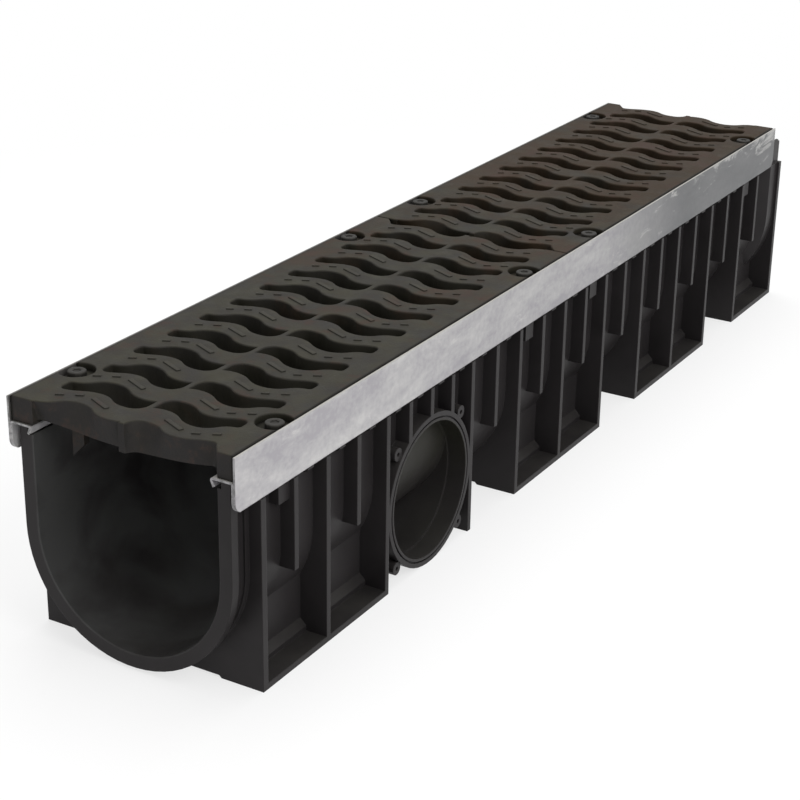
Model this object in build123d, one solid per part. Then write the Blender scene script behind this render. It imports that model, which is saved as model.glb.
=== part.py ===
from build123d import *
import os

# Channel drain, one laying unit: a ribbed plastic channel body, two folded steel edge rails,
# two cast gratings, and the screws and captive nuts that hold the gratings down.
# Millimetres. The run lies along Y with the spigot end towards -Y, X is across the channel,
# and the feet stand on Z = 0 under the middle of the unit.

os.makedirs("parts", exist_ok=True)

# ---- Overall layout along the run ----
laying_length = 1000.0      # pitch at which units follow each other
joint_overlap = 24.0        # how far a spigot enters the socket of the unit before it
rail_lead = 4.0             # the rails start this far ahead of the spigot face
joint_clearance = 1.0       # between a front plate and the end plate of the unit before it
overall_length = laying_length + joint_overlap + rail_lead

rail_front = -overall_length / 2
rail_end = rail_front + laying_length
spigot_face = rail_front + rail_lead
body_end = spigot_face + laying_length + joint_overlap
front_plate_face = spigot_face + joint_overlap + joint_clearance
shoulder_y = body_end - joint_overlap - joint_clearance / 2

# ---- Channel section ----
bore_half = 80.4            # inner half width, also the radius of the round bottom
wall = 6.0
bore_bottom = 14.0          # height of the inner bottom line
bowl_z = bore_bottom + bore_half
shell_half = bore_half + wall
ledge = 18.5                # from the bore's side to the outer face of ribs, plates and feet
outer_half = bore_half + ledge

# ---- Edge rail section ----
sheet = 1.6
rail_setback = 0.2          # of the rail's outer face from the ribs' outer face
rail_half = outer_half - rail_setback
rail_top = 196.7
rail_height = 44.5
rail_bottom = rail_top - rail_height
hem_gap = 0.2
seat_top = 176.0            # the grating rests here
seat_under = seat_top - sheet
flange_overhang = 2.1       # how far the seat flange reaches into the bore before its lip
flange_tip = bore_half - flange_overhang
lip_drop = 6.0
lip_lean = 2.4
bend_inner = 0.5            # inner radius of every bend
rail_corner = 9.0
rail_inner = rail_half - 2 * sheet - hem_gap
rail_gap = 0.2              # between the body and the rail
body_side = rail_inner - bend_inner - rail_gap

# ---- Spigot and socket ----
rim_height = 5.2
rim_half = shell_half + rim_height
rim_length = 8.0
bead_height = 2.0
bead_length = 4.5
rim_chamfer = 0.9
socket_clearance = 0.6
socket_half = rim_half + socket_clearance
socket_wall = 4.0
flare_length = 8.0
ear_top = 177.2
ear_chamfer = 5.0
plate_thickness = 6.0

# ---- Ribs and feet ----
rib = 5.0
rib_pitch = 83.8
short_rib_bottom = 79.6
foot_plate = 5.0
pad_inner_half = 60.0       # the feet stand on pads outside this
pad_step = 2.0              # the cross plates clear the ground between the pads
web_half = 75.0             # outer face of the lengthwise webs over the pads
web_thickness = 4.0
web_foot_height = 14.5
web_foot_width = 5.5
ribs_per_foot = 3

# ---- Side outlet ----
outlet_from_spigot = 260.3
pipe_radius = 55.0
pipe_clearance = 2.0
outlet_radius = pipe_radius + pipe_clearance
pipe_stop = 1.5             # shoulder that the pipe end meets
stop_from_wall = 0.6
collar_wall = 7.5
collar_radius = outlet_radius + collar_wall
outlet_z = collar_radius    # the collar stands on the ground line
collar_bite = 0.8           # the collar runs this far into the ribs beside it
collar_root = 25.0
collar_back = 5.0
membrane = 1.6
collar_rim = 3.8
groove_outer = collar_radius - collar_rim
groove_width = 1.5
groove_depth = 2.0
boss_radius = 5.5
boss_hole = 1.8
boss_offset = 5.0
boss_ring = collar_radius + boss_offset
boss_angles = (45, 135, 225, 315)
boss_root = 70.0
boss_face = 97.5
boss_hole_depth = 12.0
outlet_rib_step = 33.0

# ---- Rail seat of the body ----
seat_flange = 4.0
rebate_width = 4.0          # the wall steps back this far to clear the rail's lip
rebate_half = bore_half + rebate_width
rebate_depth = 7.5
tongue_thickness = 2.6
tongue_width = 8.0
nose_height = 3.6
nose_reach = 2.9

# ---- Gratings ----
slot_pitch = 41.5
slot_rows = 12
grating_gap = 1.0
grating_length = slot_rows * slot_pitch
grating_front = rail_front + (laying_length - 2 * grating_length - grating_gap) / 2
grating_side_gap = 0.7
grating_half = rail_half - sheet - grating_side_gap
grating_top = 195.4
margin_overhang = 3.1
margin_inner = bore_half - margin_overhang
bar_depth_end = 16.5
bar_depth_middle = 22.3
spine_half = 2.6            # the web along the middle, between the two slots of a row
slot_end_web = 0.5          # from a slot's outer end to the margin
slot_outer = margin_inner - slot_end_web
slot_shortening = 4.0       # of the slots beside a screw recess
near_turns = (              # where a slot's near edge turns, about the row: X and Y
    (12.0, -3.0),
    (46.0, -15.2),
)
near_end = -1.2             # Y of the near edge at the outer end
near_start = -4.7           # and at the spine
far_turns = (               # where its far edge turns
    (16.5, 14.0),
    (43.5, 4.5),
)
far_end = 12.3
end_half_width = 9.2        # the end slots' walls run into a straight slot at the bars' bottom
slot_corners = (10.0, 3.0, 5.0)     # inner far, outer near and outer far
stub_setback = 3.0          # of the spine's end from the grating's
stub_side = 1.0
mouth_flare = 6.5           # the end slots widen by this at the grating's end
mouth_depth = 8.0
tread_height = 0.9
treads = (                  # centre from the bar's middle, length, width, slant
    (32.8, -0.9, 21.2, 3.8, -25.0),
    (54.2, -4.7, 6.2, 2.2, 25.0),
    (67.3, 1.7, 6.2, 2.2, 29.0),
)
lug_half = 56.5
lug_bottom = 151.0
lug_shoulder = 162.0
lug_width = 10.5
lug_thickness = 6.0

# ---- Screws and nuts ----
screw_offset = 6.9          # from the bore's side to the screws
screw_half = bore_half + screw_offset
screw_row = 1.5             # in slot pitches from each end of a grating
screw_radius = 3.0
screw_hole = 3.5
screw_length = 30.0
head_radius = 7.1
head_height = 5.2
hex_flat = 4.0
hex_depth = 2.0
recess_radius = 14.0
recess_depth = 5.6
nut_side = 10.0
nut_thickness = 3.2
nut_clearance = 0.2
thread_gap = 0.1
pocket_half = 7.0
pocket_bottom = 135.5
pocket_tip_room = 1.5

big = 400.0                 # longer than any section, for cutting right through


def along(section, y_from, y_to):
    """Run a section drawn in X and Z from one station of the run to another."""
    return extrude(Plane.XZ.offset(-y_from) * section, amount=y_from - y_to)


def across(section, x_from, x_to):
    """Run a section drawn in Y and Z outwards across the channel."""
    return extrude(Plane.YZ.offset(x_from) * section, amount=x_to - x_from)


def upright(section, z_from, z_to):
    """Run a plan view upwards."""
    return extrude(Plane.XY.offset(z_from) * section, amount=z_to - z_from)


def panel(x_from, x_to, z_from, z_to):
    """A rectangle of a cross section, by its edges."""
    centre = Pos((x_from + x_to) / 2, (z_from + z_to) / 2)
    return centre * Rectangle(x_to - x_from, z_to - z_from)


def both_sides(shape):
    return shape + mirror(shape, about=Plane.YZ)


def u_outline(half, top):
    """The filled U of the channel: straight sides on a half-round bottom."""
    sides = Polyline((-half, bowl_z), (-half, top), (half, top), (half, bowl_z))
    bottom = ThreePointArc((half, bowl_z), (0, bowl_z - half), (-half, bowl_z))
    return make_face(sides + bottom)


# ---- Stations of ribs, feet and screws ----

outlet_y = spigot_face + outlet_from_spigot
rib_before_outlet = outlet_y - collar_radius - rib / 2 + collar_bite
rib_after_outlet = outlet_y + collar_radius + rib / 2 - collar_bite
front_bays = int((rib_before_outlet - front_plate_face) / rib_pitch - 0.5)
rear_bays = int((shoulder_y - flare_length - rib_after_outlet) / rib_pitch - 0.5)
front_ribs = [rib_before_outlet - k * rib_pitch for k in range(front_bays, -1, -1)]
rear_ribs = [rib_after_outlet + k * rib_pitch for k in range(rear_bays + 1)]
main_ribs = front_ribs + rear_ribs
short_ribs = [y - rib_pitch / 2 for y in front_ribs] + [y + rib_pitch / 2 for y in rear_ribs]
outlet_ribs = [outlet_y + k * outlet_rib_step for k in (-1, 0, 1)]


def foot_spans():
    """Stretches of the run that stand on pads: two bays each, with open ground between."""
    spans = [(front_plate_face, rib_before_outlet + rib / 2)]
    for k in range(1, len(rear_ribs), ribs_per_foot):
        last = k + ribs_per_foot - 1
        end = rear_ribs[last] + rib / 2 if last < len(rear_ribs) else body_end
        spans.append((rear_ribs[k] - rib / 2, end))
    return spans


def screw_stations():
    """Screw positions along the run: two beside each end of each grating."""
    stations = []
    for k in range(2):
        start = grating_front + k * (grating_length + grating_gap)
        stations += [start + row * slot_pitch for row in screw_rows()]
    return stations


# ---- Channel body: one moulding ----

def rib_section():
    return panel(-outer_half, outer_half, 0, seat_under)


def shell():
    """The trough with its spigot rim, the bead at the front plate and the socket."""
    body = along(u_outline(shell_half, seat_under), spigot_face, body_end)
    body += along(u_outline(rim_half, seat_under), spigot_face, spigot_face + rim_length)
    bead_start = front_plate_face - bead_length
    body += along(u_outline(shell_half + bead_height, seat_under), bead_start, front_plate_face)
    socket_outer = socket_half + socket_wall
    flare_start = shoulder_y - flare_length
    narrow = Plane.XZ.offset(-flare_start) * u_outline(shell_half, seat_under)
    wide = Plane.XZ.offset(-shoulder_y) * u_outline(socket_outer, seat_under)
    body += loft([narrow, wide])
    return body + along(u_outline(socket_outer, seat_under), shoulder_y, body_end)


def frames():
    """Cross plates, short ribs, feet and the flange that carries the rails."""
    plates = along(rib_section(), front_plate_face, front_plate_face + plate_thickness)
    plates += along(rib_section(), body_end - plate_thickness, body_end)
    for y in main_ribs:
        plates += along(rib_section(), y - rib / 2, y + rib / 2)
    side = along(panel(rebate_half, body_side, seat_under - seat_flange, seat_under),
                 front_plate_face, shoulder_y)
    short = panel(rebate_half, outer_half, short_rib_bottom, seat_under)
    for y in short_ribs + outlet_ribs:
        side += along(short, y - rib / 2, y + rib / 2)
    web = panel(web_half - web_thickness, web_half, 0, bowl_z - bore_half * 0.5)
    web_foot = make_face(Polyline((web_half, web_foot_height),
                                  (web_half + web_foot_width, web_foot_height - web_foot_width),
                                  (web_half + web_foot_width, 0), (web_half - 1, 0),
                                  (web_half - 1, web_foot_height), close=True))
    for start, end in foot_spans():
        side += along(panel(pad_inner_half, outer_half, 0, foot_plate), start, end)
        side += along(web, start, end)
        side += along(web_foot, start, end)
    return plates + both_sides(side)


def outlet_spot(radius):
    return Pos(outlet_y, outlet_z) * Circle(radius)


def boss_circles(radius):
    """The four screw bosses round the outlet, as one plan."""
    circles = [Rot(0, 0, angle) * Pos(boss_ring, 0) * Circle(radius) for angle in boss_angles]
    return Pos(outlet_y, outlet_z) * Sketch(children=circles)


def outlet_collar():
    """Round collar of the side outlet, with four screw bosses beside it."""
    collar = across(outlet_spot(collar_radius), collar_root, outer_half)
    return collar + across(boss_circles(boss_radius), boss_root, boss_face)


def outlet_cuts():
    """The pipe seat, the blind space behind its stop, closed by a thin wall, and fine grooves."""
    closed_half = bore_half + membrane
    cavity = across(outlet_spot(outlet_radius - pipe_stop), collar_root + collar_back, outer_half)
    cavity += across(outlet_spot(outlet_radius), closed_half + stop_from_wall, outer_half + 1)
    cavity -= along(u_outline(closed_half, rail_top), spigot_face, body_end)
    groove = outlet_spot(groove_outer) - outlet_spot(groove_outer - groove_width)
    cuts = cavity + across(groove, outer_half - groove_depth, outer_half + 1)
    return cuts + across(boss_circles(boss_hole), boss_face - boss_hole_depth, boss_face + 1)


def nut_pocket(y):
    section = panel(rebate_half, body_side, pocket_bottom, seat_under)
    return along(section, y - pocket_half, y + pocket_half)


def nut_slot(y):
    """Side slot for a square nut, room for the screw tip, and the hole through the flange."""
    ceiling = seat_under - seat_flange
    half = nut_side / 2 + nut_clearance
    slot = along(panel(screw_half - half, outer_half, ceiling - nut_thickness - nut_clearance, ceiling),
                 y - half, y + half)
    tip = grating_top - recess_depth - screw_length - pocket_tip_room
    return slot + upright(Pos(screw_half, y) * Circle(screw_hole), tip, seat_under + 1)


def rail_tongue(y):
    """Snap tongue that hooks under the rail's hemmed edge."""
    top = rail_bottom - rail_gap
    tip = body_side + nose_reach
    root = body_side - tongue_thickness
    leaf = panel(root, body_side, top - nose_height, seat_under)
    nose = make_face(Polyline((root, top - nose_height), (body_side, top - nose_height),
                              (tip, top - nose_height / 2), (tip, top), (root, top), close=True))
    return along(leaf + nose, y - tongue_width / 2, y + tongue_width / 2)


def tongue_stations():
    """One tongue midway between each two ribs, left out where a nut pocket stands."""
    edges = sorted(main_ribs + short_ribs + outlet_ribs)
    middles = [(a + b) / 2 for a, b in zip(edges, edges[1:])]
    clear = pocket_half + tongue_width / 2 + rib
    return [y for y in middles if all(abs(y - s) > clear for s in screw_stations())]


def channel_body():
    body = shell() + frames() + outlet_collar()
    side = nut_pocket(screw_stations()[0])
    for y in screw_stations()[1:]:
        side += nut_pocket(y)
    for y in tongue_stations():
        side += rail_tongue(y)
    body += both_sides(side)

    side_cuts = along(panel(body_side, big, rail_bottom - rail_gap, big), -big * 3, big * 3)
    for y in screw_stations():
        side_cuts += nut_slot(y)
    body -= both_sides(side_cuts)
    body -= outlet_cuts()

    ear = along(panel(socket_half, body_side, rail_bottom, ear_top), rail_end + rail_gap, body_end)
    edge = ear_chamfer * 2 ** 0.5
    ear -= Pos(0, body_end, ear_top) * Rot(45, 0, 0) * Box(big, edge, edge)
    body += both_sides(ear)

    lip_room = panel(-rebate_half, rebate_half, seat_under - rebate_depth, big)
    body -= along(lip_room, -big * 3, rail_end + rail_gap)
    body -= along(u_outline(bore_half, big), -big * 3, big * 3)
    body -= along(u_outline(socket_half, big), shoulder_y, big * 3)
    mouth = Plane.XZ.offset(-spigot_face) * u_outline(bore_half + rim_chamfer, big)
    throat = Plane.XZ.offset(-spigot_face - rim_chamfer) * u_outline(bore_half, big)
    body -= loft([mouth, throat])
    slope = pad_inner_half + pad_step
    step = make_face(Polyline((-slope, -big), (-slope, 0), (-pad_inner_half, pad_step),
                              (pad_inner_half, pad_step), (slope, 0), (slope, -big), close=True))
    body -= along(step, -big * 3, shoulder_y - flare_length)
    return body - along(panel(-big, big, -big, 0), -big * 3, big * 3)


# ---- Edge rail: one folded sheet ----

def rail_section():
    """Outer leaf, closed hem, inner leaf, seat flange and its turned-down lip."""
    outer_x = rail_half - sheet / 2
    inner_x = outer_x - sheet - hem_gap
    hem_z = rail_bottom + sheet + hem_gap / 2
    flange_z = seat_top - sheet / 2
    leaf = Line((outer_x, rail_top), (outer_x, hem_z))
    hem = ThreePointArc((outer_x, hem_z), ((outer_x + inner_x) / 2, hem_z - (outer_x - inner_x) / 2),
                        (inner_x, hem_z))
    fold = FilletPolyline((inner_x, hem_z), (inner_x, flange_z), (flange_tip, flange_z),
                          (flange_tip + lip_lean, flange_z - lip_drop), radius=bend_inner + sheet / 2)
    return trace(leaf + hem + fold, line_width=sheet)


def edge_rail():
    rail = along(rail_section(), rail_front, rail_end)
    corner = Pos(rail_front, rail_bottom) * (panel(-1, rail_corner, -1, rail_corner)
                                             - Pos(rail_corner, rail_corner) * Circle(rail_corner))
    far_corner = Pos(rail_end, rail_bottom) * (panel(-rail_corner, 1, -1, rail_corner)
                                               - Pos(-rail_corner, rail_corner) * Circle(rail_corner))
    rail -= across(corner, rail_inner - 1, rail_half + 1)
    rail -= across(far_corner, rail_inner - 1, rail_half + 1)
    for y in screw_stations():
        rail -= upright(Pos(screw_half, y) * Circle(screw_hole), seat_under - 1, seat_top + 1)
    return rail


# ---- Grating: one casting ----

def level_arc(turn, end):
    """Arc that leaves a turning point level, or a line where the edge runs straight on."""
    if turn[1] == end[1]:
        return Line(turn, end)
    return TangentArc(turn, end, tangent=(end[0] - turn[0], 0))


def wave(turns):
    """Edge that swings from turning point to turning point, in arcs that meet midway."""
    edge = []
    for first, second in zip(turns, turns[1:]):
        middle = ((first[0] + second[0]) / 2, (first[1] + second[1]) / 2)
        edge.append(level_arc(first, middle))
        edge.append(level_arc(second, middle))
    return edge


def slot_plan(near, far, near_inner, outer):
    """A slot on the +X side about the middle of its row, from the turns of its two edges."""
    edges = wave(near) + wave(far)
    edges.append(level_arc(near[0], (spine_half, near_inner)))
    edges.append(Line((spine_half, far[0][1]), far[0]))
    edges.append(Line((spine_half, near_inner), (spine_half, far[0][1])))
    edges.append(Line((outer, near[-1][1]), (outer, far[-1][1])))
    plan = make_face(Curve(children=edges))
    corners = plan.vertices().sort_by(Axis.X)
    inner = corners[:2].sort_by(Axis.Y)
    ends = corners[-2:].sort_by(Axis.Y)
    for corner, radius in zip((inner[1], ends[0], ends[1]), slot_corners):
        plan = fillet(plan.vertices().sort_by_distance(corner)[0], radius)
    return plan


def wave_plan(outer):
    """The S-shaped plan that a slot has at the top of the bars."""
    return slot_plan(near_turns + ((outer, near_end),), far_turns + ((outer, far_end),), near_start, outer)


def end_slot_cutter():
    """The half slots at the ends: wavy at the top, straight at the bars' bottom, ruled between."""
    half = end_half_width
    near = tuple((x, -half) for x, y in near_turns) + ((slot_outer, -half),)
    far = tuple((x, half) for x, y in far_turns) + ((slot_outer, half),)
    straight = slot_plan(near, far, -half, slot_outer)
    belly = grating_top - bar_depth_middle
    return loft([Pos(0, 0, belly) * straight, Pos(0, 0, grating_top) * wave_plan(slot_outer)], ruled=True)


def grating_section():
    """Deep margins on the rails, and bars that deepen towards the middle of the span."""
    seat = seat_top
    end_z = grating_top - bar_depth_end
    middle_z = grating_top - bar_depth_middle
    top = Polyline((-margin_inner, end_z), (-margin_inner, seat), (-grating_half, seat),
                   (-grating_half, grating_top), (grating_half, grating_top), (grating_half, seat),
                   (margin_inner, seat), (margin_inner, end_z))
    belly = ThreePointArc((margin_inner, end_z), (0, middle_z), (-margin_inner, end_z))
    return make_face(top + belly)


def bar_treads():
    """The raised dashes on the +X half of a bar, about the bar's middle."""
    dashes = [Pos(x, y) * Rot(0, 0, slant) * Rectangle(length, width)
              for x, y, length, width, slant in treads]
    return Sketch(children=dashes)


def lug():
    """Pointed lug under the first bar."""
    inner = lug_half - lug_width
    root = grating_top - bar_depth_end
    outline = make_face(Polyline((-lug_half, root), (-lug_half, lug_bottom), (-inner, lug_shoulder),
                                 (-inner, root), close=True))
    middle = slot_pitch / 2
    return along(outline, middle - lug_thickness / 2, middle + lug_thickness / 2)


def screw_rows():
    """Rows, counted in slot pitches, at which a grating is screwed down."""
    return (screw_row, slot_rows - screw_row)


def grating():
    """One casting, from its own front end at Y = 0."""
    casting = along(grating_section(), 0, grating_length)
    turned = Rot(0, 0, 180)
    full = wave_plan(slot_outer)
    short = wave_plan(slot_outer - slot_shortening)
    for row in range(1, slot_rows):
        right = short if any(0 < screw - row < 1 for screw in screw_rows()) else full
        left = short if any(0 < row - screw < 1 for screw in screw_rows()) else full
        pair = Pos(0, row * slot_pitch) * (right + turned * left)
        casting -= upright(pair, grating_top - bar_depth_middle - 1, grating_top + 1)

    half_bar = bar_treads()
    bar = half_bar + turned * half_bar
    for row in range(slot_rows):
        marks = Pos(0, (row + 0.5) * slot_pitch) * bar
        casting += upright(marks, grating_top - 1, grating_top + tread_height)

    mouth = make_face(Polyline((slot_outer - 1, -1), (slot_outer + mouth_flare, -1),
                               (slot_outer + mouth_flare, 0), (slot_outer, mouth_depth),
                               (slot_outer - 1, mouth_depth), close=True))
    stub = Rectangle(2 * (spine_half + stub_side), 2 * stub_setback)
    half_slots = end_slot_cutter()
    half_slots += turned * half_slots
    half_slots += upright(mouth + stub, grating_top - bar_depth_middle - 1, grating_top + 1)
    far_end_place = Pos(0, grating_length, 0) * turned
    casting -= half_slots
    casting -= far_end_place * half_slots
    casting += lug()
    casting += far_end_place * lug()

    floor = grating_top - recess_depth
    for row in screw_rows():
        for x in (-screw_half, screw_half):
            spot = Pos(x, row * slot_pitch)
            casting -= upright(spot * Circle(recess_radius), floor, grating_top + 2)
            casting -= upright(spot * Circle(screw_hole), seat_top - 1, floor + 1)
    return casting


# ---- Screw and nut ----

def screw():
    """Screw with a flat cylindrical head and a hex socket, its head's bearing face at the origin."""
    shank = upright(Circle(screw_radius), -screw_length, 0)
    head = upright(Circle(head_radius), 0, head_height)
    socket = upright(RegularPolygon(hex_flat / 3 ** 0.5, 6), head_height - hex_depth, head_height + 1)
    return shank + head - socket


def square_nut():
    """Square nut hung from its top face at the origin."""
    plan = Rectangle(nut_side, nut_side) - Circle(screw_radius + thread_gap)
    return upright(plan, -nut_thickness, 0)


# ---- Write each piece ----

def save(name, shape):
    export_step(shape, f"parts/{name}.step")


save("channel_body", channel_body())

right_rail = edge_rail()
save("edge_rail_right", right_rail)
save("edge_rail_left", mirror(right_rail, about=Plane.YZ))

casting = grating()
save("grating_front", Pos(0, grating_front, 0) * casting)
save("grating_rear", Pos(0, grating_front + grating_length + grating_gap, 0) * casting)

fixing = screw()
nut = square_nut()
head_seat = grating_top - recess_depth
nut_seat = seat_under - seat_flange
for side, x in (("left", -screw_half), ("right", screw_half)):
    for number, y in enumerate(screw_stations(), start=1):
        save(f"grating_screw_{side}_{number}", Pos(x, y, head_seat) * fixing)
        save(f"captive_nut_{side}_{number}", Pos(x, y, nut_seat) * nut)
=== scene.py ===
import math

import bmesh
import bpy
from mathutils import Matrix, Vector


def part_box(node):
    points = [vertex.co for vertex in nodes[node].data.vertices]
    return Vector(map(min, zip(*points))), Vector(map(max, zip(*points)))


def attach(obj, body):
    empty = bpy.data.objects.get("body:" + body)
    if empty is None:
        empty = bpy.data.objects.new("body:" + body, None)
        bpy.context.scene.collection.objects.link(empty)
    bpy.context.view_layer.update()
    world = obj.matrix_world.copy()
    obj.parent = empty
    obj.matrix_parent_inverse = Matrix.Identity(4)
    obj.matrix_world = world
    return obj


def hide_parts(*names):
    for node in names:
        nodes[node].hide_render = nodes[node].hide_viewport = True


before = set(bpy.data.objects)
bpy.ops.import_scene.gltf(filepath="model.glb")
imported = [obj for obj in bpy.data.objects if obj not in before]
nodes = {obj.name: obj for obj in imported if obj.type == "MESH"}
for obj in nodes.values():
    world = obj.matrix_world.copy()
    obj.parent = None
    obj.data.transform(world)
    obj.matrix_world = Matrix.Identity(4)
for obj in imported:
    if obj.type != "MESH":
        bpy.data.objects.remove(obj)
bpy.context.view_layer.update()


# ---- Channel body ----
# One large injection moulding in black polypropylene: the U-shaped trough, its ribs, feet and
# outlet. It comes satin from the mould. Its edges are paler, partly from rubbing and partly from a
# painted highlight that stands in for their gloss, and what faces the sky has picked up a thin
# layer of site dust. Inside the trough, blotches of painted light stand in for the light that
# falls through the slots, and the upper inside of the outlet carries a painted olive-tinted light.

def feed(tree, socket, value):
    """Gives a socket a constant, or links another node's output to it."""
    if isinstance(value, bpy.types.NodeSocket):
        tree.links.new(value, socket)
    elif socket.type == "RGBA":
        socket.default_value = (*value, 1.0)
    else:
        socket.default_value = value


def add_node(tree, kind, options=None, family="ShaderNode", **inputs):
    """A node with its options set and its inputs fed, with underscores for the spaces in names."""
    node = tree.nodes.new(family + kind)
    for option, choice in (options or {}).items():
        setattr(node, option, choice)
    for label, value in inputs.items():
        feed(tree, node.inputs[label.replace("_", " ")], value)
    return node


def noise(tree, place, scale, detail=4.0, roughness=0.55, distortion=0.0):
    return add_node(tree, "TexNoise", Vector=place, Scale=scale, Detail=detail,
                    Roughness=roughness, Distortion=distortion).outputs["Fac"]


def remap(tree, value, low, high, to_low=0.0, to_high=1.0):
    node = add_node(tree, "MapRange", {"clamp": True}, Value=value, From_Min=low, From_Max=high,
                    To_Min=to_low, To_Max=to_high)
    return node.outputs["Result"]


def maths(tree, operation, first, second):
    node = add_node(tree, "Math", {"operation": operation})
    feed(tree, node.inputs[0], first)
    feed(tree, node.inputs[1], second)
    return node.outputs["Value"]


def weighted_sum(tree, first, first_share, second, second_share):
    return maths(tree, "ADD", maths(tree, "MULTIPLY", first, first_share),
                 maths(tree, "MULTIPLY", second, second_share))


def blend_colour(tree, factor, first, second):
    node = add_node(tree, "Mix", {"data_type": "RGBA"})
    colours = [socket for socket in node.inputs if socket.type == "RGBA"]
    feed(tree, node.inputs["Factor"], factor)
    feed(tree, colours[0], first)
    feed(tree, colours[1], second)
    return next(socket for socket in node.outputs if socket.type == "RGBA")


def coords(tree, vector):
    """The X, Y and Z of a vector."""
    return add_node(tree, "SeparateXYZ", Vector=vector).outputs


def length(tree, vector):
    return add_node(tree, "VectorMath", {"operation": "LENGTH"}, Vector=vector).outputs["Value"]


def bevelled_normal(tree, radius, samples):
    """The surface's direction as if its edges were rounded to this radius."""
    return add_node(tree, "Bevel", {"samples": samples}, Radius=radius).outputs["Normal"]


def openness_within(tree, distance):
    """1 where nothing stands near a point of the surface, less in corners and hollows."""
    return add_node(tree, "AmbientOcclusion", {"samples": 6}, Distance=distance).outputs["AO"]


def new_group(name, inputs, outputs, kind="ShaderNodeTree"):
    """A node group with named inputs (name, kind) and outputs (name, kind)."""
    group = bpy.data.node_groups.new(name, kind)
    for label, kind in inputs:
        group.interface.new_socket(label, in_out="INPUT", socket_type="NodeSocket" + kind)
    for label, kind in outputs:
        group.interface.new_socket(label, in_out="OUTPUT", socket_type="NodeSocket" + kind)
    enter = group.nodes.new("NodeGroupInput")
    leave = group.nodes.new("NodeGroupOutput")
    return group, enter.outputs, leave.inputs


def use_group(tree, group, **inputs):
    node = tree.nodes.new("ShaderNodeGroup")
    node.node_tree = group
    for label, value in inputs.items():
        feed(tree, node.inputs[label.replace("_", " ")], value)
    return node.outputs


def edge_group():
    """Where a surface turns over an edge: 1 on the edge, 0 on the flat."""
    group, given, out = new_group(
        "edge_mask",
        (("Normal", "Vector"), ("Rounded Normal", "Vector"), ("Place", "Vector"),
         ("Scale", "Float"), ("Width", "Float")),
        (("Mask", "Float"),))
    turn = add_node(group, "VectorMath", {"operation": "DOT_PRODUCT"})
    group.links.new(given["Normal"], turn.inputs[0])
    group.links.new(given["Rounded Normal"], turn.inputs[1])
    bend = maths(group, "SUBTRACT", 1.0, turn.outputs["Value"])
    least_bend = 0.02
    edge = remap(group, bend, least_bend, given["Width"])
    patchy = remap(group, noise(group, given["Place"], given["Scale"]), 0.3, 0.62)
    group.links.new(maths(group, "MULTIPLY", edge, patchy), out["Mask"])
    return group


def dust_group():
    """Where dust settles: faces that look up, in soft patches."""
    group, given, out = new_group(
        "dust_mask",
        (("Normal", "Vector"), ("Place", "Vector"), ("Scale", "Float"), ("Amount", "Float")),
        (("Mask", "Float"),))
    upward = remap(group, coords(group, given["Normal"])["Z"], 0.1, 0.95)
    settling = noise(group, given["Place"], given["Scale"], detail=6.0)
    patches = remap(group, settling, 0.36, 0.66, 0.25, 1.0)
    settled = maths(group, "MULTIPLY", upward, patches)
    group.links.new(maths(group, "MULTIPLY", settled, given["Amount"]), out["Mask"])
    return group


edge_mask = edge_group()
dust_mask = dust_group()


def new_material(name):
    """A material with its shader, the place on the piece, and the surface's direction."""
    material = bpy.data.materials.new(name)
    material.use_nodes = True
    tree = material.node_tree
    shader = tree.nodes["Principled BSDF"]
    place = tree.nodes.new("ShaderNodeTexCoord").outputs["Object"]
    normal = tree.nodes.new("ShaderNodeNewGeometry").outputs["Normal"]
    return material, tree, shader, place, normal


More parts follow.
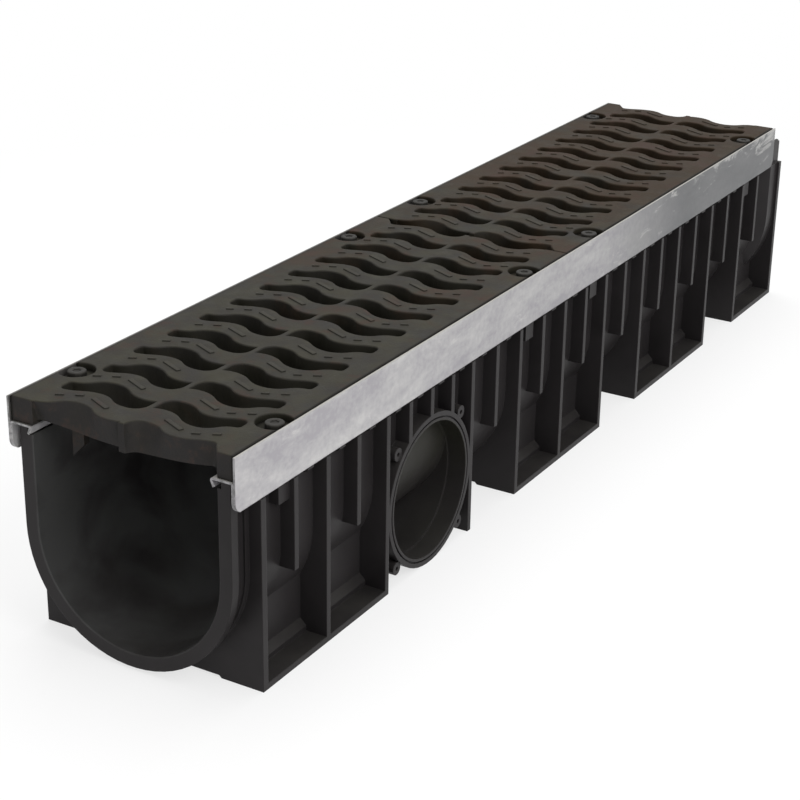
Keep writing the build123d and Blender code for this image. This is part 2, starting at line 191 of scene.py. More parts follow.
def moulded_plastic():
    """Black plastic with edges paler from rubbing and a painted highlight, dust on top, painted
    blotches of light in the trough and painted olive-tinted light high in the outlet.
    """
    material, tree, shader, place, normal = new_material("moulded_plastic")
    edge_radius, corner_reach = 0.0009, 0.003
    rounded = bevelled_normal(tree, edge_radius, 6)
    flow = noise(tree, place, 9.0, detail=5.0, roughness=0.6, distortion=0.6)
    handling = noise(tree, place, 46.0, detail=5.0, roughness=0.65)
    grain = noise(tree, place, 1500.0, detail=2.0)
    axes = coords(tree, place)

    black, greyer_black = (0.0176, 0.0159, 0.0163), (0.0260, 0.0236, 0.0242)
    pale_edge_colour, dust_colour = (0.060, 0.057, 0.056), (0.070, 0.068, 0.060)
    moulded = blend_colour(tree, remap(tree, flow, 0.35, 0.68), black, greyer_black)
    edge = use_group(tree, edge_mask, Normal=normal, Rounded_Normal=rounded, Place=place,
                     Scale=60.0, Width=0.3)["Mask"]
    openness = openness_within(tree, corner_reach)
    # Paler edges: partly rub wear, partly a painted highlight that stands in for the gloss on the
    # rims.
    rubbed_and_highlit_edge = maths(tree, "MULTIPLY", edge, remap(tree, openness, 0.75, 0.95))
    rubbed = blend_colour(tree, maths(tree, "MULTIPLY", rubbed_and_highlit_edge, 0.3), moulded, pale_edge_colour)
    dust = use_group(tree, dust_mask, Normal=normal, Place=place, Scale=24.0, Amount=0.3)["Mask"]
    dusty = blend_colour(tree, dust, rubbed, dust_colour)

    # Painted light: paler blotches on the trough's inside faces stand in for the light that comes
    # in through the grating's slots.
    bore_radius, bore_height, light_patch_fade = 0.0806, 0.0944, 0.0012
    light_patch_colour = (0.052, 0.052, 0.051)
    below = maths(tree, "MINIMUM", maths(tree, "SUBTRACT", axes["Z"], bore_height), 0.0)
    across = add_node(tree, "CombineXYZ", X=axes["X"], Z=below).outputs["Vector"]
    inside = remap(tree, length(tree, across), bore_radius, bore_radius + light_patch_fade, 1.0, 0.0)
    light_patches = noise(tree, place, 17.0, detail=4.0, roughness=0.5, distortion=0.4)
    light_patch = maths(tree, "MULTIPLY", inside, remap(tree, light_patches, 0.38, 0.60, 0.1, 1.0))
    with_light_patches = blend_colour(tree, light_patch, dusty, light_patch_colour)

    # Painted light: an olive tint that grows towards the top of the outlet's inside stands in for
    # olive-tinted light falling there.
    outlet_y, outlet_height, outlet_radius, outlet_fade = -0.2497, 0.0645, 0.0575, 0.0008
    collar_start, collar_fade = 0.060, 0.002
    olive_light_low, olive_light_high, olive_light_wander = 0.075, 0.130, 0.06
    olive_light_colour = (0.0175, 0.0175, 0.0110)
    off_axis = add_node(tree, "CombineXYZ", Y=maths(tree, "SUBTRACT", axes["Y"], outlet_y),
                        Z=maths(tree, "SUBTRACT", axes["Z"], outlet_height)).outputs["Vector"]
    near_axis = remap(tree, length(tree, off_axis), outlet_radius, outlet_radius + outlet_fade,
                      1.0, 0.0)
    past_wall = remap(tree, axes["X"], collar_start, collar_start + collar_fade)
    in_outlet = maths(tree, "MULTIPLY", near_axis, past_wall)
    olive_light_line = maths(tree, "ADD", axes["Z"], maths(tree, "MULTIPLY", handling, olive_light_wander))
    painted_tone = maths(tree, "MULTIPLY", in_outlet,
                 remap(tree, olive_light_line, olive_light_low, olive_light_high, 0.1, 0.7))
    with_painted_tone = blend_colour(tree, painted_tone, with_light_patches, olive_light_colour)

    smoothest, roughest = 0.34, 0.46
    wear = weighted_sum(tree, flow, 0.6, handling, 0.4)
    feed(tree, shader.inputs["Base Color"], with_painted_tone)
    feed(tree, shader.inputs["Roughness"], remap(tree, wear, 0.38, 0.62, smoothest, roughest))
    feed(tree, shader.inputs["Specular IOR Level"], 0.12)
    surface = add_node(tree, "Bump", Height=grain, Distance=0.00005, Strength=0.8, Normal=rounded)
    feed(tree, shader.inputs["Normal"], surface.outputs["Normal"])
    return material


def finish_node(name, material):
    """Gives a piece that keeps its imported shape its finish."""
    slots = nodes[name].data.materials
    slots.clear()
    slots.append(material)


finish_node("channel_body", moulded_plastic())


# ---- Edge rails ----
# Two strips of sheet steel, hot-dip galvanised. Each is folded to a tall outer leaf with a closed
# hem along its foot, an inner leaf, and a seat flange that carries the gratings. The outer leaf
# ends just under the top of the gratings. The zinc has gone matt, with pale rub marks and runs.

def galvanised_sheet():
    """Cloudy zinc, paler at the spigot end and darker towards the socket end, with a painted
    highlight along the top and painted shade in the gap beside the gratings and on the left rail's
    top.
    """
    material, tree, shader, place, normal = new_material("galvanised_sheet")
    rounded = bevelled_normal(tree, 0.0007, 6)
    along = add_node(tree, "Mapping", Vector=place, Scale=(1.0, 0.35, 1.0)).outputs["Vector"]
    drawn_out = add_node(tree, "Mapping", Vector=place, Scale=(1.0, 0.3, 1.0)).outputs["Vector"]
    clouds = noise(tree, along, 30.0, detail=7.0, roughness=0.68, distortion=0.4)
    spangle = noise(tree, place, 210.0, detail=3.0, roughness=0.6)
    runs = noise(tree, drawn_out, 120.0, detail=4.0, roughness=0.6)
    mottle = maths(tree, "ADD", maths(tree, "MULTIPLY", clouds, 0.62),
                   weighted_sum(tree, spangle, 0.2, runs, 0.18))
    axes = coords(tree, place)
    facing = coords(tree, normal)

    paler_zinc_dark, paler_zinc_pale = (0.345, 0.333, 0.354), (0.545, 0.537, 0.532)
    darker_zinc_dark, darker_zinc_pale = (0.104, 0.107, 0.110), (0.190, 0.191, 0.194)
    paler_zinc = blend_colour(tree, remap(tree, mottle, 0.40, 0.60), paler_zinc_dark, paler_zinc_pale)
    darker_zinc = blend_colour(tree, remap(tree, mottle, 0.38, 0.62), darker_zinc_dark, darker_zinc_pale)
    # The zinc turns darker from the spigot end towards the socket end, slowly and then quickly.
    run = maths(tree, "ADD", axes["Y"], maths(tree, "MULTIPLY", clouds, 0.16))
    slow_darkening = remap(tree, run, -0.35, 0.15, 0.0, 0.3)
    quick_darkening = remap(tree, run, 0.13, 0.31, 0.0, 0.7)
    darkening = maths(tree, "ADD", slow_darkening, quick_darkening)
    zinc = blend_colour(tree, darkening, paler_zinc, darker_zinc)

    leaf_middle, leaf_top, rear_start, rear_full = 0.176, 0.194, 0.16, 0.34
    end_start, end_full, end_scuffs, top_scuffs = 0.40, 0.47, 0.06, 0.11
    scuff_colour = (0.62, 0.61, 0.59)
    near_top = maths(tree, "MULTIPLY", remap(tree, axes["Z"], leaf_middle, leaf_top),
                     remap(tree, axes["Y"], rear_start, rear_full))
    near_end = remap(tree, axes["Y"], end_start, end_full, 0.0, end_scuffs)
    scratches = noise(tree, along, 62.0, detail=8.0, roughness=0.75, distortion=0.8)
    handled = maths(tree, "ADD", maths(tree, "MULTIPLY", near_top, top_scuffs), near_end)
    rubs = remap(tree, maths(tree, "ADD", scratches, handled), 0.60, 0.70)
    rubbed = blend_colour(tree, maths(tree, "MULTIPLY", rubs, 0.55), zinc, scuff_colour)
    edge = use_group(tree, edge_mask, Normal=normal, Rounded_Normal=rounded, Place=place,
                     Scale=110.0, Width=0.25)["Mask"]
    edged = blend_colour(tree, maths(tree, "MULTIPLY", edge, 0.4), rubbed, scuff_colour)

    lip_low, lip_high = 0.1735, 0.1765
    # Painted highlight: faces that look up above the lip are painted paler.
    top_highlight_colour, gap_shade_colour = (0.38, 0.368, 0.345), (0.045, 0.040, 0.034)
    cut_colour = (0.130, 0.130, 0.132)
    above_lip = remap(tree, axes["Z"], lip_low, lip_high)
    upward = remap(tree, facing["Z"], 0.4, 0.8)
    with_top_highlight = blend_colour(tree, maths(tree, "MULTIPLY", upward, above_lip), edged, top_highlight_colour)
    # Painted shade: faces turned in towards the gratings above the lip, and the left rail's top,
    # are painted dark.
    inward = maths(tree, "MULTIPLY", facing["X"], maths(tree, "SIGN", axes["X"], 0.0))
    turned_in = remap(tree, inward, -0.2, -0.7)
    left_top = maths(tree, "MULTIPLY", upward, remap(tree, axes["X"], -0.05, 0.05, 1.0, 0.0))
    gap_shade = maths(tree, "MULTIPLY", maths(tree, "MAXIMUM", turned_in, left_top), above_lip)
    with_gap_shade = blend_colour(tree, maths(tree, "MULTIPLY", gap_shade, 0.85), with_top_highlight, gap_shade_colour)
    facing_front = remap(tree, facing["Y"], -0.6, -0.9)
    cut_end = maths(tree, "MULTIPLY", facing_front, remap(tree, spangle, 0.4, 0.6, 0.35, 0.9))
    feed(tree, shader.inputs["Base Color"], blend_colour(tree, cut_end, with_gap_shade, cut_colour))
    feed(tree, shader.inputs["Metallic"], 0.5)
    feed(tree, shader.inputs["Roughness"], remap(tree, mottle, 0.36, 0.64, 0.42, 0.66))
    surface = add_node(tree, "Bump", Height=mottle, Distance=0.00015, Normal=rounded)
    feed(tree, shader.inputs["Normal"], surface.outputs["Normal"])
    return material


def merged_copy(name):
    """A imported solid's triangles joined at their corners, with no stored normals."""
    packed = nodes[name].data
    mesh = bmesh.new()
    points = [mesh.verts.new(point.co) for point in packed.vertices]
    for face in packed.polygons:
        mesh.faces.new([points[index] for index in face.vertices])
    same_place = 0.000001
    bmesh.ops.remove_doubles(mesh, verts=mesh.verts, dist=same_place)
    return mesh


def in_scene(name, data):
    """A new object at the origin that shows this data."""
    thing = bpy.data.objects.new(name, data)
    bpy.context.scene.collection.objects.link(thing)
    return thing


def smooth_piece(mesh, name):
    """Turns a working mesh into a finished one, smooth round its curves and flat on its flats."""
    sharpest_curve = math.radians(38.0)
    data = bpy.data.meshes.new(name)
    mesh.to_mesh(data)
    mesh.free()
    data.shade_smooth()
    data.set_sharp_from_angle(angle=sharpest_curve)
    blank = in_scene(name + "_blank", data)
    weighted = blank.modifiers.new("even_faces", "WEIGHTED_NORMAL")
    weighted.keep_sharp = True
    depsgraph = bpy.context.evaluated_depsgraph_get()
    final = bpy.data.meshes.new_from_object(blank.evaluated_get(depsgraph), depsgraph=depsgraph)
    bpy.data.objects.remove(blank)
    return final


def lowered_rail(name):
    """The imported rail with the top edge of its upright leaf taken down."""
    leaf_drop, edge_depth = 0.0020, 0.0001
    mesh = merged_copy(name)
    top = max(point.co.z for point in mesh.verts)
    for point in mesh.verts:
        if point.co.z > top - edge_depth:
            point.co.z -= leaf_drop
    bmesh.ops.recalc_face_normals(mesh, faces=mesh.faces)
    return smooth_piece(mesh, name + "_sheet")


zinc_coat = galvanised_sheet()
for side in ("left", "right"):
    name = "edge_rail_" + side
    rail = in_scene("zinc_rail_" + side, lowered_rail(name))
    rail.data.materials.clear()
    rail.data.materials.append(zinc_coat)
    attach(rail, "root")
    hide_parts(name)


# ---- Gratings ----
# Two iron castings with S-shaped slots, laid end to end and dipped in a thin bituminous coat. The
# mould rounds every edge round the slots, the skin is rough, and the coat shows olive and brown.

def level_faces(mesh, level):
    """The faces that lie flat at this height."""
    off_level = 0.00002
    return [face for face in mesh.faces
            if all(abs(point.co.z - level) < off_level for point in face.verts)]


def lid_loops(lid):
    """The closed runs of points round a level face, each with the face on its left, and whether
    the wall beside it goes down."""
    inside = set(lid)
    following, falling = {}, {}
    for face in lid:
        for corner in face.loops:
            walls = [side for side in corner.edge.link_faces if side not in inside]
            if walls:
                following[corner.vert] = corner.link_loop_next.vert
                falling[corner.vert] = walls[0].calc_center_median().z < corner.vert.co.z
    loops = []
    while following:
        point, after = following.popitem()
        loop = [point]
        while after is not point:
            loop.append(after)
            after = following.pop(after)
        loops.append((loop, falling[point]))
    return loops


def inward_steps(loop):
    """For each point of a loop, the step to its left that moves both its edges by one."""
    sharpest = 0.35
    steps = []
    for before, point, after in zip(loop[-1:] + loop[:-1], loop, loop[1:] + loop[:1]):
        sides = []
        for start, end in ((before, point), (point, after)):
            along = (end.co - start.co).normalized()
            sides.append(Vector((-along.y, along.x, 0.0)))
        steps.append((sides[0] + sides[1]) / max(sharpest, 1.0 + sides[0].dot(sides[1])))
    return steps


def keep_apart(places, steps, reach):
    """Aims the two ends of a short edge at one spot where moving in would turn the edge over."""
    kept_half = 0.1
    for index in range(len(places)):
        after = (index + 1) % len(places)
        edge = places[after] - places[index]
        moved = edge + (steps[after] - steps[index]) * reach
        if moved.dot(edge) < 0.0:
            middle = (places[index] + places[after] + (steps[index] + steps[after]) * reach) / 2
            steps[index] = (middle - edge * kept_half - places[index]) / reach
            steps[after] = (middle + edge * kept_half - places[after]) / reach


def round_rims(mesh, level, radius_for):
    """Rounds the edges where the top face at this height turns down, and fills the face again."""
    lid = level_faces(mesh, level)
    loops = lid_loops(lid)
    bmesh.ops.delete(mesh, geom=lid, context="FACES_ONLY")
    rims = []
    for loop, falls in loops:
        ring = loop
        run = sum((end.co - start.co).length for start, end in zip(loop, loop[1:] + loop[:1]))
        radius, parts = radius_for(run) if falls else (0.0, 0)
        steps = inward_steps(loop)
        places = [point.co.copy() for point in loop]
        keep_apart(places, steps, radius)
        for point in loop:
            point.co.z = level - radius
        for part in range(1, parts + 1):
            angle = math.radians(90.0) * part / parts
            reach, drop = radius * (1.0 - math.cos(angle)), radius * (1.0 - math.sin(angle))
            upper = [mesh.verts.new((place.x + step.x * reach, place.y + step.y * reach,
                                     level - drop))
                     for place, step in zip(places, steps)]
            for index in range(len(ring)):
                after = (index + 1) % len(ring)
                mesh.faces.new((ring[index], ring[after], upper[after], upper[index]))
            ring = upper
        for start, end in zip(ring, ring[1:] + ring[:1]):
            rims.append(mesh.edges.get((start, end)))
    loose = [edge for edge in mesh.edges if not edge.link_faces and edge not in set(rims)]
    bmesh.ops.delete(mesh, geom=loose, context="EDGES")
    bmesh.ops.triangle_fill(mesh, use_beauty=True, use_dissolve=False, edges=rims,
                            normal=(0.0, 0.0, 1.0))


def rounded_casting(name):
    """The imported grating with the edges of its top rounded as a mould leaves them. A rounding is
    its radius and the number of strips that make it, and an edge is told by its length."""
    mark_rounding, recess_rounding = (0.0007, 3), (0.0008, 2)
    slot_rounding, outline_rounding = (0.0014, 4), (0.0012, 3)
    longest_recess, longest_slot = 0.10, 0.30
    mesh = merged_copy(name)
    marks_top = max(point.co.z for point in mesh.verts)
    mark_height = 0.0009

    def edge_for(run):
        if run < longest_recess:
            return recess_rounding
        return slot_rounding if run < longest_slot else outline_rounding

    round_rims(mesh, marks_top, lambda run: mark_rounding)
    round_rims(mesh, marks_top - mark_height, edge_for)
    bmesh.ops.recalc_face_normals(mesh, faces=mesh.faces)
    return smooth_piece(mesh, name + "_casting")


def crevice_group():
    """Painted shade in corners: 1 in a tight corner, 0 on an open face."""
    group, given, out = new_group(
        "corner_shade_mask",
        (("Openness", "Float"), ("Place", "Vector"), ("Scale", "Float")),
        (("Mask", "Float"),))
    shut = remap(group, given["Openness"], 0.97, 0.62)
    patchy = remap(group, noise(group, given["Place"], given["Scale"]), 0.3, 0.6, 0.7, 1.0)
    group.links.new(maths(group, "MULTIPLY", shut, patchy), out["Mask"])
    return group


corner_shade_mask = crevice_group()


def cast_iron():
    """A thin dark coat that browns along the run, with dust on top, edges paler from wear and a
    painted sheen, and painted shade deep in the slots, in the corners and by the rails.
    """
    material, tree, shader, place, normal = new_material("cast_iron")
    casting_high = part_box("grating_front")[1]
    side_half, tread_top = casting_high[0], casting_high[2]
    rounded = bevelled_normal(tree, 0.0006, 4)
    patches = noise(tree, place, 13.0, detail=5.0, roughness=0.62, distortion=0.6)
    blotches = noise(tree, place, 60.0, detail=7.0, roughness=0.72)
    skin = noise(tree, place, 620.0, detail=4.0, roughness=0.6)
    pits = add_node(tree, "TexVoronoi", Vector=place, Scale=900.0).outputs["Distance"]
    axes = coords(tree, place)

    black_coat, grey_coat = (0.0205, 0.0193, 0.0193), (0.0280, 0.0252, 0.0235)
    brown_coat = (0.0310, 0.0205, 0.0115)
    olive_dust, brown_dust = (0.0390, 0.0365, 0.0245), (0.0345, 0.0225, 0.0118)
    rust_colour, wear_and_sheen_colour = (0.052, 0.032, 0.026), (0.100, 0.094, 0.084)
    coat = blend_colour(tree, remap(tree, blotches, 0.38, 0.64), black_coat, grey_coat)
    browner = maths(tree, "ADD", remap(tree, axes["Y"], -0.30, 0.20, -0.16, 0.12), patches)
    brownness = remap(tree, browner, 0.40, 0.62)
    browned = blend_colour(tree, maths(tree, "MULTIPLY", brownness, 0.75), coat, brown_coat)
    settled = blend_colour(tree, brownness, olive_dust, brown_dust)
    dust = use_group(tree, dust_mask, Normal=normal, Place=place, Scale=46.0, Amount=0.85)["Mask"]
    dusty = blend_colour(tree, dust, browned, settled)
    redness = weighted_sum(tree, patches, 0.45, blotches, 0.55)
    rusty = blend_colour(tree, remap(tree, redness, 0.52, 0.60, 0.0, 0.6), dusty, rust_colour)
    # Paler edges: partly wear, partly a painted sheen that stands in for light on the rounded
    # edges.
    edge = use_group(tree, edge_mask, Normal=normal, Rounded_Normal=rounded, Place=place,
                     Scale=90.0, Width=0.2)["Mask"]
    with_wear_and_sheen = blend_colour(tree, maths(tree, "MULTIPLY", edge, 0.3), rusty, wear_and_sheen_colour)

    tread_height, tread_fade, tread_colour = 0.0006, 0.0002, (0.085, 0.081, 0.068)
    raised = remap(tree, axes["Z"], tread_top - tread_height, tread_top - tread_fade)
    trodden = blend_colour(tree, maths(tree, "MULTIPLY", raised, 0.14), with_wear_and_sheen, tread_colour)

    # Painted shade: the deeper a surface lies in a slot, the more it takes a dark olive or brown.
    slot_reach, corner_reach = 0.03, 0.0045
    rail_shade_reach, rail_shade_full = 0.0022, 0.0012
    olive_slot_shade, brown_slot_shade = (0.0210, 0.0198, 0.0130), (0.0270, 0.0180, 0.0095)
    painted_shade_colour = (0.0090, 0.0085, 0.0070)
    painted_tone = blend_colour(tree, brownness, olive_slot_shade, brown_slot_shade)
    depth = remap(tree, openness_within(tree, slot_reach), 0.84, 0.56, 0.0, 0.9)
    with_painted_tone = blend_colour(tree, depth, trodden, painted_tone)
    # Painted shade: tight corners, and a strip along each side in the gap by the rail, are painted
    # near black.
    corner_shade = use_group(tree, corner_shade_mask, Openness=openness_within(tree, corner_reach),
                     Place=place, Scale=140.0)["Mask"]
    to_side = maths(tree, "ABSOLUTE", axes["X"], 0.0)
    rail_gap_shade = remap(tree, to_side, side_half - rail_shade_reach, side_half - rail_shade_full)
    painted_shade = maths(tree, "MULTIPLY", maths(tree, "MAXIMUM", corner_shade, rail_gap_shade), 0.85)
    feed(tree, shader.inputs["Base Color"], blend_colour(tree, painted_shade, with_painted_tone, painted_shade_colour))
    feed(tree, shader.inputs["Roughness"], remap(tree, blotches, 0.3, 0.7, 0.54, 0.74))
    feed(tree, shader.inputs["Specular IOR Level"], 0.10)
    relief = maths(tree, "ADD", skin, maths(tree, "MULTIPLY", pits, 0.35))
    surface = add_node(tree, "Bump", Height=relief, Distance=0.00022, Strength=0.9,
                       Normal=rounded)
    feed(tree, shader.inputs["Normal"], surface.outputs["Normal"])
    return material


iron = cast_iron()
for name in ("grating_front", "grating_rear"):
    casting = in_scene(name.replace("grating", "cast_grating"), rounded_casting(name))
    casting.data.materials.clear()
    casting.data.materials.append(iron)
    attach(casting, "root")
    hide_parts(name)


# ---- Grating screws ----
# Eight socket screws in round recesses hold the gratings down. They were zinc plated and have
# dulled to nearly the colour of the castings round them, and grit half fills their sockets.

def plated_steel(name, dark, light):
    """Dull plating between two colours, rubbed paler on its edges, with painted shade in its
    corners.
    """
    material, tree, shader, place, normal = new_material(name)
    rounded = bevelled_normal(tree, 0.0008, 4)
    dull = noise(tree, place, 260.0, detail=5.0, roughness=0.65)
    plated = blend_colour(tree, remap(tree, dull, 0.35, 0.7), dark, light)
    pale_edge_colour, corner_shade_colour = tuple(2.0 * part for part in light), (0.009, 0.008, 0.007)
    edge = use_group(tree, edge_mask, Normal=normal, Rounded_Normal=rounded, Place=place,
                     Scale=300.0, Width=0.25)["Mask"]
    rubbed = blend_colour(tree, maths(tree, "MULTIPLY", edge, 0.5), plated, pale_edge_colour)
    # Painted shade: tight corners and hollows are painted near black.
    corner_shade = use_group(tree, corner_shade_mask, Openness=openness_within(tree, 0.004), Place=place,
                     Scale=300.0)["Mask"]
    with_corner_shade = blend_colour(tree, maths(tree, "MULTIPLY", corner_shade, 0.8), rubbed, corner_shade_colour)
    feed(tree, shader.inputs["Base Color"], with_corner_shade)
    feed(tree, shader.inputs["Metallic"], 0.5)
    feed(tree, shader.inputs["Roughness"], remap(tree, dull, 0.3, 0.7, 0.5, 0.7))
    feed(tree, shader.inputs["Specular IOR Level"], 0.25)
    surface = add_node(tree, "Bump", Height=dull, Distance=0.0001, Normal=rounded)
    feed(tree, shader.inputs["Normal"], surface.outputs["Normal"])
    return material


screw_finish = plated_steel("plated_screw", (0.0170, 0.0160, 0.0140), (0.0390, 0.0365, 0.0320))


def point_place(tree):
    """The X, Y and Z of each point of the mesh in a Geometry Nodes tree."""
    return coords(tree, tree.nodes.new("GeometryNodeInputPosition").outputs["Position"])


def drawn_ring(tree, body, top, radius, height):
    """Draws the top face of a round body on to a new radius and height."""
    drawn = add_node(tree, "ExtrudeMesh", {"mode": "FACES"}, "GeometryNode", Mesh=body,
                     Selection=top, Offset_Scale=0.0, Individual=False)
    at = point_place(tree)
    outward = add_node(tree, "VectorMath", {"operation": "NORMALIZE"})
    tree.links.new(add_node(tree, "CombineXYZ", X=at["X"], Y=at["Y"]).outputs[0], outward.inputs[0])
    spread = add_node(tree, "VectorMath", {"operation": "SCALE"}, Scale=radius)
    tree.links.new(outward.outputs[0], spread.inputs[0])
    lifted = add_node(tree, "VectorMath", {"operation": "ADD"})
    tree.links.new(spread.outputs[0], lifted.inputs[0])
    tree.links.new(add_node(tree, "CombineXYZ", Z=height).outputs[0], lifted.inputs[1])
    moved = add_node(tree, "SetPosition", None, "GeometryNode", Geometry=drawn.outputs["Mesh"],
                     Selection=drawn.outputs["Top"], Position=lifted.outputs[0])
    return moved.outputs["Geometry"], drawn.outputs["Top"]


def hexagon_reach(tree, flat_half):
    """How far a hexagon's side is from its middle, in each point's direction."""
    at = point_place(tree)
    sixth = math.radians(60.0)
    way = maths(tree, "FLOORED_MODULO", maths(tree, "ARCTAN2", at["Y"], at["X"]), sixth)
    off_middle = maths(tree, "SUBTRACT", way, sixth / 2)
    return maths(tree, "DIVIDE", flat_half, maths(tree, "COSINE", off_middle, 0.0))


def screw_tree():
    """One socket screw on each point it is given, each turned by its own amount."""
    tree, given, out = new_group(
        "socket_screws",
        (("Seats", "Geometry"), ("Shank Radius", "Float"), ("Shank Length", "Float"),
         ("Head Radius", "Float"), ("Head Height", "Float"), ("Rounding", "Float"),
         ("Socket Flat", "Float"), ("Socket Depth", "Float"), ("Seed", "Int"),
         ("Finish", "Material")),
        (("Geometry", "Geometry"),), "GeometryNodeTree")
    sides = 36
    shank = add_node(tree, "MeshCylinder", {"fill_type": "NGON"}, "GeometryNode", Vertices=sides,
                     Radius=given["Shank Radius"], Depth=given["Shank Length"])
    half_down = maths(tree, "MULTIPLY", given["Shank Length"], -0.5)
    shift = add_node(tree, "CombineXYZ", Z=half_down).outputs["Vector"]
    body = add_node(tree, "Transform", None, "GeometryNode", Geometry=shank.outputs["Mesh"],
                    Translation=shift).outputs["Geometry"]
    top = shank.outputs["Top"]
    head, height, rounding = given["Head Radius"], given["Head Height"], given["Rounding"]
    flat_half = maths(tree, "MULTIPLY", given["Socket Flat"], 0.5)
    mouth = maths(tree, "MULTIPLY", flat_half, 1.3)

    def under_top(drop):
        return maths(tree, "SUBTRACT", height, drop)

    rings = [(head, 0.0), (head, under_top(rounding))]
    for step in (30.0, 60.0, 90.0):
        angle = math.radians(step)
        inset = maths(tree, "MULTIPLY", rounding, 1.0 - math.cos(angle))
        drop = maths(tree, "MULTIPLY", rounding, 1.0 - math.sin(angle))
        rings.append((maths(tree, "SUBTRACT", head, inset), under_top(drop)))
    rings.append((mouth, height))
    rim_drop, floor_drop = 0.4, 1.2     # shares of the rounding and of the socket's depth
    socket_rim = under_top(maths(tree, "MULTIPLY", rounding, rim_drop))
    socket_floor = under_top(maths(tree, "MULTIPLY", given["Socket Depth"], floor_drop))
    rings.append((hexagon_reach(tree, flat_half), socket_rim))
    rings.append((hexagon_reach(tree, flat_half), under_top(given["Socket Depth"])))
    rings.append((maths(tree, "MULTIPLY", flat_half, 0.5), socket_floor))
    for radius, level in rings:
        body, top = drawn_ring(tree, body, top, radius, level)
    turn = add_node(tree, "RandomValue", {"data_type": "FLOAT"}, "FunctionNode",
                    Seed=given["Seed"])
    highest, drawn_turn = turn.inputs[3], turn.outputs[1]
    highest.default_value = math.radians(60.0)
    standing = add_node(tree, "CombineXYZ", Z=drawn_turn).outputs["Vector"]
    placed = add_node(tree, "InstanceOnPoints", None, "GeometryNode", Points=given["Seats"],
                      Instance=body, Rotation=standing)
    real = add_node(tree, "RealizeInstances", None, "GeometryNode",
                    Geometry=placed.outputs["Instances"])
    coated = add_node(tree, "SetMaterial", None, "GeometryNode",
                      Geometry=real.outputs["Geometry"], Material=given["Finish"])
    tree.links.new(coated.outputs["Geometry"], out["Geometry"])
    return tree


def grown_piece(name, seats, tree, sizes):
    """Runs a tree on seat points and keeps what it makes as a plain mesh."""
    sharpest_curve = math.radians(40.0)
    points = bpy.data.meshes.new(name + "_seats")
    points.from_pydata(seats, [], [])
    holder = in_scene(name + "_seats", points)
    grower = holder.modifiers.new("grower", "NODES")
    grower.node_group = tree
    for socket in tree.interface.items_tree:
        if socket.in_out == "INPUT" and socket.name in sizes:
            grower[socket.identifier] = sizes[socket.name]
    depsgraph = bpy.context.evaluated_depsgraph_get()
    grown = bpy.data.meshes.new_from_object(holder.evaluated_get(depsgraph), depsgraph=depsgraph)
    holder.modifiers.clear()
    bpy.data.objects.remove(holder)
    grown.shade_smooth()
    grown.set_sharp_from_angle(angle=sharpest_curve)
    return in_scene(name, grown)


screw_nodes = sorted(name for name in nodes if name.startswith("grating_screw"))
head_height, shank_radius = 0.0052, 0.0030
head_seats = []
for name in screw_nodes:
    low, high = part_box(name)
    head_seats.append(((low[0] + high[0]) / 2, (low[1] + high[1]) / 2, high[2] - head_height))
screws = grown_piece("grating_screws", head_seats, screw_tree(), {
    "Shank Radius": shank_radius, "Shank Length": high[2] - head_height - low[2],
    "Head Radius": (high[0] - low[0]) / 2, "Head Height": head_height, "Rounding": 0.0009,
    "Socket Flat": 0.0056, "Socket Depth": 0.0008, "Seed": 4, "Finish": screw_finish})
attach(screws, "root")
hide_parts(*screw_nodes)


# ---- Captive nuts ----
# Eight square nuts slid into the body's side pockets before the gratings go on. They keep their
# plating, because nothing touches them.

nut_finish = plated_steel("plated_nut", (0.14, 0.14, 0.135), (0.26, 0.255, 0.245))
for name in nodes:
    if name.startswith("captive_nut"):
        finish_node(name, nut_finish)


# ---- Floor ----
# A large pale sheet under the drain. It keeps the drain's shadow close by and fades to plain
# white further off.

def seen_directly(tree):
    """1 where the camera sees a thing itself, in a reflection or through glass, 0 elsewhere."""
    rays = tree.nodes.new("ShaderNodeLightPath").outputs
    mirrored = maths(tree, "MAXIMUM", rays["Is Camera Ray"], rays["Is Glossy Ray"])
    return maths(tree, "MAXIMUM", mirrored, rays["Is Transmission Ray"])


def floor_sheet():
    """Matt white near the drain, where it takes the shadow, and plain white beyond."""
    material = bpy.data.materials.new("floor_white")
    material.use_nodes = True
    tree = material.node_tree
    shader = tree.nodes["Principled BSDF"]
    feed(tree, shader.inputs["Base Color"], (0.94, 0.94, 0.94))
    feed(tree, shader.inputs["Roughness"], 1.0)
    feed(tree, shader.inputs["Specular IOR Level"], 0.0)
    near_share, near_reach, far_reach = 0.7, 0.6, 1.1
    away = length(tree, tree.nodes.new("ShaderNodeTexCoord").outputs["Object"])
    white = add_node(tree, "Emission", Color=(1.0, 1.0, 1.0), Strength=1.0).outputs["Emission"]
    share = maths(tree, "MULTIPLY", seen_directly(tree),
                  remap(tree, away, near_reach, far_reach, near_share, 1.0))
    mixed = add_node(tree, "MixShader", Fac=share)
    tree.links.new(shader.outputs["BSDF"], mixed.inputs[1])
    tree.links.new(white, mixed.inputs[2])
    tree.links.new(mixed.outputs["Shader"], tree.nodes["Material Output"].inputs["Surface"])
    return material


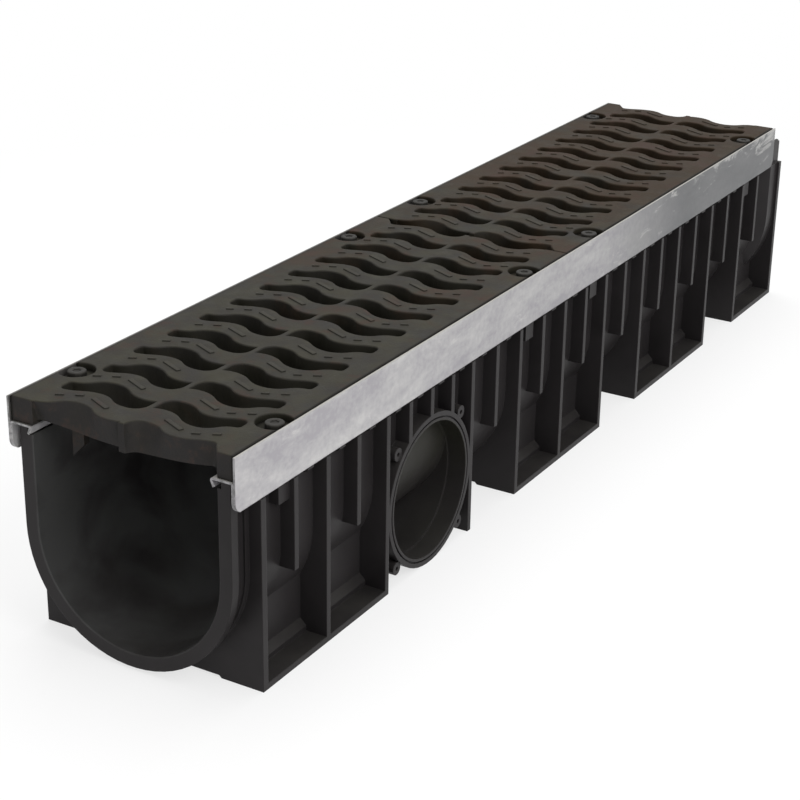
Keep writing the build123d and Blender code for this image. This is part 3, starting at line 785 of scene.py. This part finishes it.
floor_half = 15.0
sheet = bpy.data.meshes.new("floor")
sheet.from_pydata([(-floor_half, -floor_half, 0), (floor_half, -floor_half, 0),
                   (floor_half, floor_half, 0), (-floor_half, floor_half, 0)], [], [(0, 1, 2, 3)])
sheet.materials.append(floor_sheet())
floor = in_scene("floor", sheet)


# ---- Light ----
# Three soft boxes: one high on the outlet side, a weak one in front, and one overhead. An even
# white room fills the shadows.

def soft_box(name, place, size, power):
    """A square lamp of this width and power, aimed at the middle of the drain."""
    lamp = bpy.data.lights.new(name, "AREA")
    lamp.shape = "SQUARE"
    lamp.size = size
    lamp.energy = power
    holder = in_scene(name, lamp)
    holder.location = place
    aim = Vector((0.0, 0.0, 0.1)) - Vector(place)
    holder.rotation_euler = aim.to_track_quat("-Z", "Y").to_euler()


soft_box("key_light", (3.2, -0.9, 2.6), 2.6, 74.0)
soft_box("front_light", (0.2, -4.0, 1.2), 1.6, 4.0)
soft_box("top_light", (-0.4, 0.9, 3.6), 2.6, 62.0)

room = bpy.data.worlds.new("studio")
bpy.context.scene.world = room
room.use_nodes = True
room_light = 0.62
walls = room.node_tree
background = walls.nodes["Background"]
feed(walls, background.inputs["Color"], (1.0, 1.0, 1.0))
feed(walls, background.inputs["Strength"],
     remap(walls, seen_directly(walls), 0.0, 1.0, room_light, 1.0))


# ---- Camera ----
# A long lens that looks down on the gratings from the spigot end and the outlet side, held
# very slightly off level.

yaw = math.radians(30.45)        # from +Y towards -X
pitch = math.radians(23.04)      # downwards
roll = math.radians(0.86)
forward = Vector((-math.sin(yaw) * math.cos(pitch), math.cos(yaw) * math.cos(pitch),
                  -math.sin(pitch)))
level = Vector((math.cos(yaw), math.sin(yaw), 0.0))
upward = level.cross(forward)
right = level * math.cos(roll) + upward * math.sin(roll)
up = upward * math.cos(roll) - level * math.sin(roll)
turn = Matrix((right, up, -forward)).transposed()

lens = bpy.data.cameras.new("camera")
lens.sensor_width = 36.0
lens.lens = 86.64
stand = Matrix.Translation((0.77694, -1.45347, 0.7291))
camera = in_scene("camera", lens)
camera.matrix_world = stand @ turn.to_4x4()
bpy.context.scene.camera = camera
bpy.context.scene.view_settings.view_transform = "Standard"
